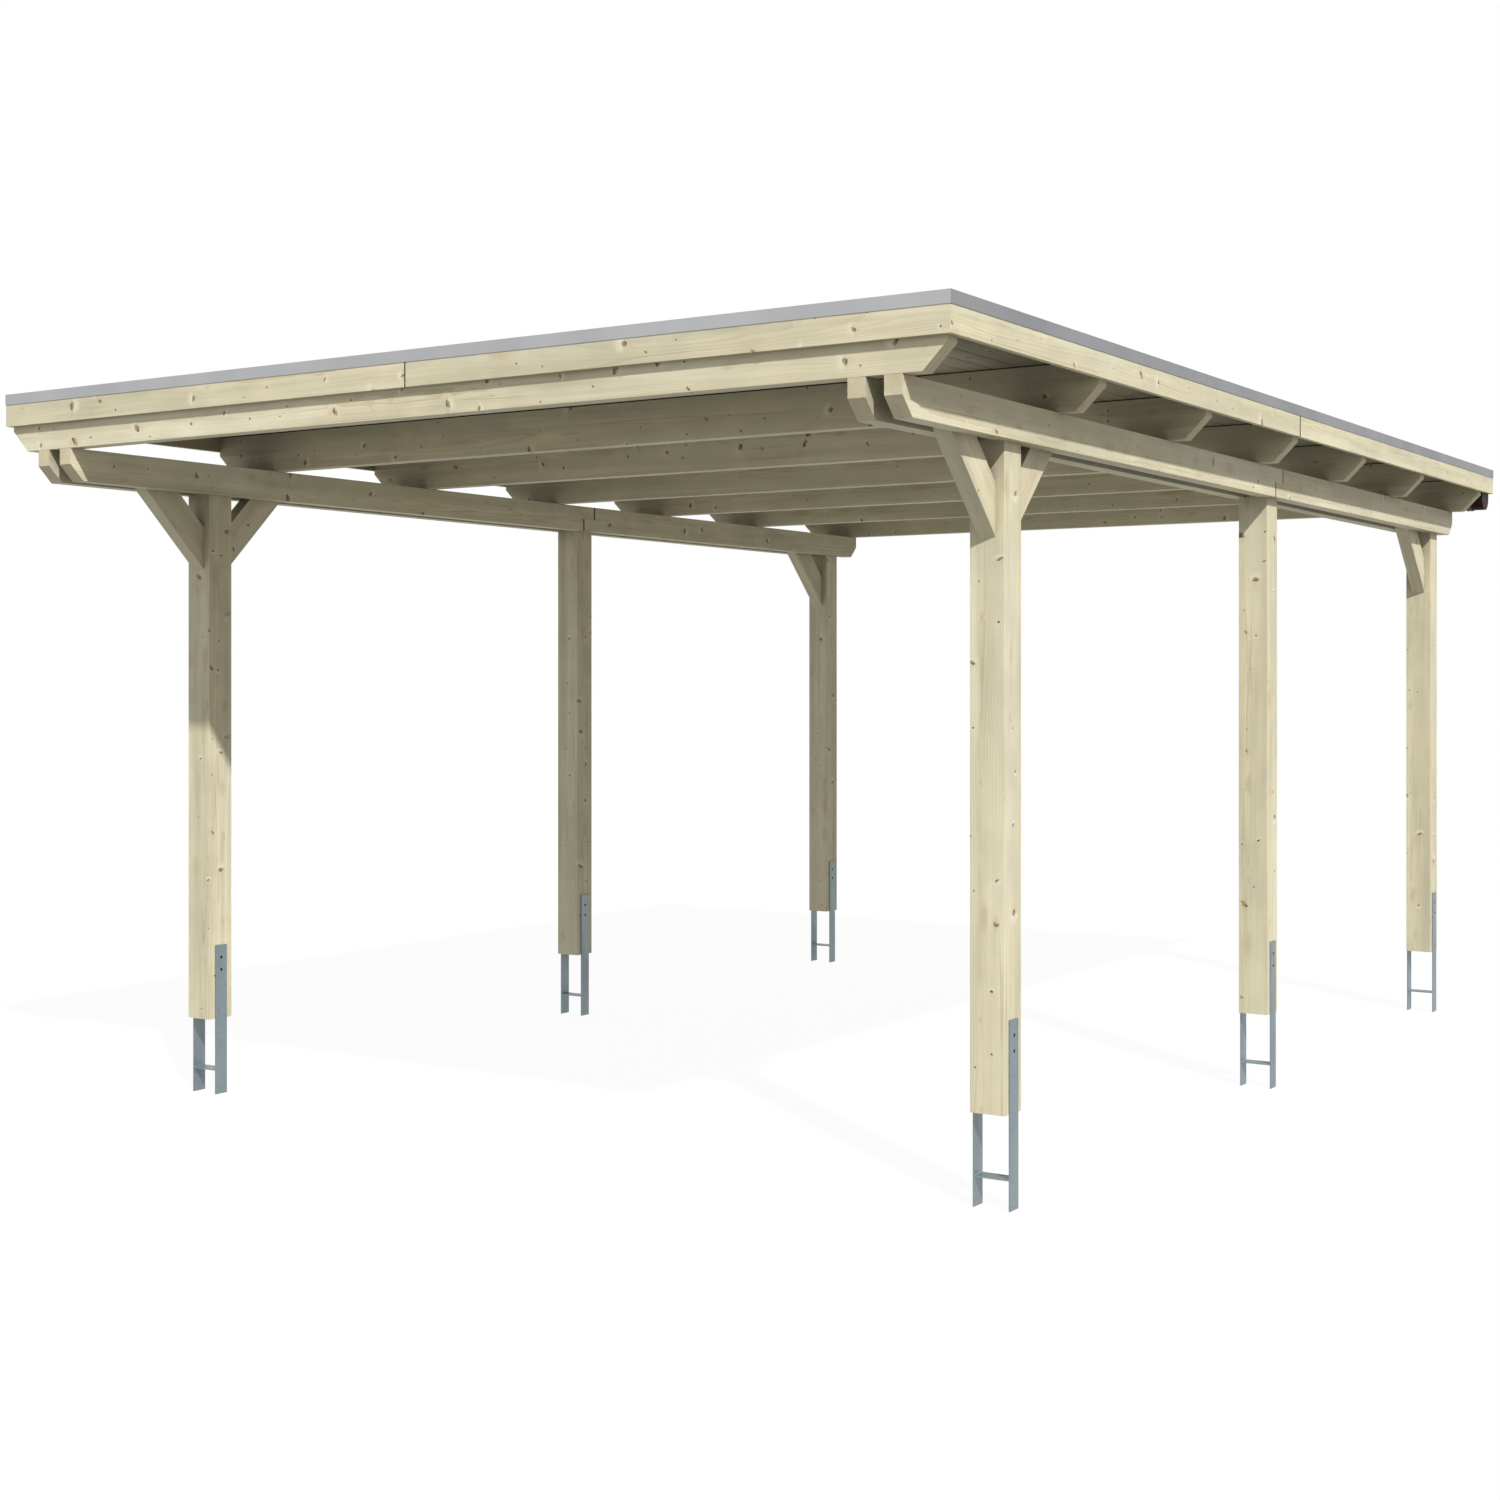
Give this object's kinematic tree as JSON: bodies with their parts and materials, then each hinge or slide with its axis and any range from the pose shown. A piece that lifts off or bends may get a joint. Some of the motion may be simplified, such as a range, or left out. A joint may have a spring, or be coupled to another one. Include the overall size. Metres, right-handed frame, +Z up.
{
  "type": "flat-roofed timber carport",
  "caption": "Open timber carport: posts on H-shaped steel anchors carry lapped twin purlins, braces, bevelled rafters and a flat boarded roof with fascia, metal edge trim and a rear gutter.",
  "frame": {"origin": "middle of the roof's plan, on the level of the post anchors' lower ends", "axes": "+X to the right when facing the drive-in front from outside, +Y from the front to the rear, +Z up"},
  "size_m": [4.04, 6.04, 2.754],
  "materials": {
    "spruce": "planed, untreated",
    "galvanised_steel": "hot-dip galvanised",
    "grey_edge_metal": "matt grey",
    "roof_sheet": "matt black sheet",
    "brown_gutter": "satin dark brown",
    "black_bracket_steel": "satin black"
  },
  "bodies": {
    "root": {"anchor_left_front": "galvanised_steel", "anchor_left_middle": "galvanised_steel", "anchor_left_rear": "galvanised_steel", "anchor_right_front": "galvanised_steel", "anchor_right_middle": "galvanised_steel", "anchor_right_rear": "galvanised_steel", "brace_left_front_backward": "spruce", "brace_left_front_forward": "spruce", "brace_left_rear_forward": "spruce", "brace_right_front_backward": "spruce", "brace_right_front_forward": "spruce", "brace_right_rear_forward": "spruce", "edge_trim_front": "grey_edge_metal", "edge_trim_left": "grey_edge_metal", "edge_trim_right": "grey_edge_metal", "fascia_front": "spruce", "fascia_left": "spruce", "fascia_right": "spruce", "gutter": "brown_gutter", "gutter_brackets": "black_bracket_steel", "gutter_end_caps": "brown_gutter", "post_left_front": "spruce", "post_left_middle": "spruce", "post_left_rear": "spruce", "post_right_front": "spruce", "post_right_middle": "spruce", "post_right_rear": "spruce", "purlin_left_inner_front": "spruce", "purlin_left_inner_rear": "spruce", "purlin_left_outer_front": "spruce", "purlin_left_outer_rear": "spruce", "purlin_right_inner_front": "spruce", "purlin_right_inner_rear": "spruce", "purlin_right_outer_front": "spruce", "purlin_right_outer_rear": "spruce", "rafter_1": "spruce", "rafter_2": "spruce", "rafter_3": "spruce", "rafter_4": "spruce", "rafter_5": "spruce", "rafter_6": "spruce", "rafter_7": "spruce", "rear_drip_edge": "grey_edge_metal", "roof_deck": "spruce", "roof_membrane": "roof_sheet"}
  },
  "joints": []
}
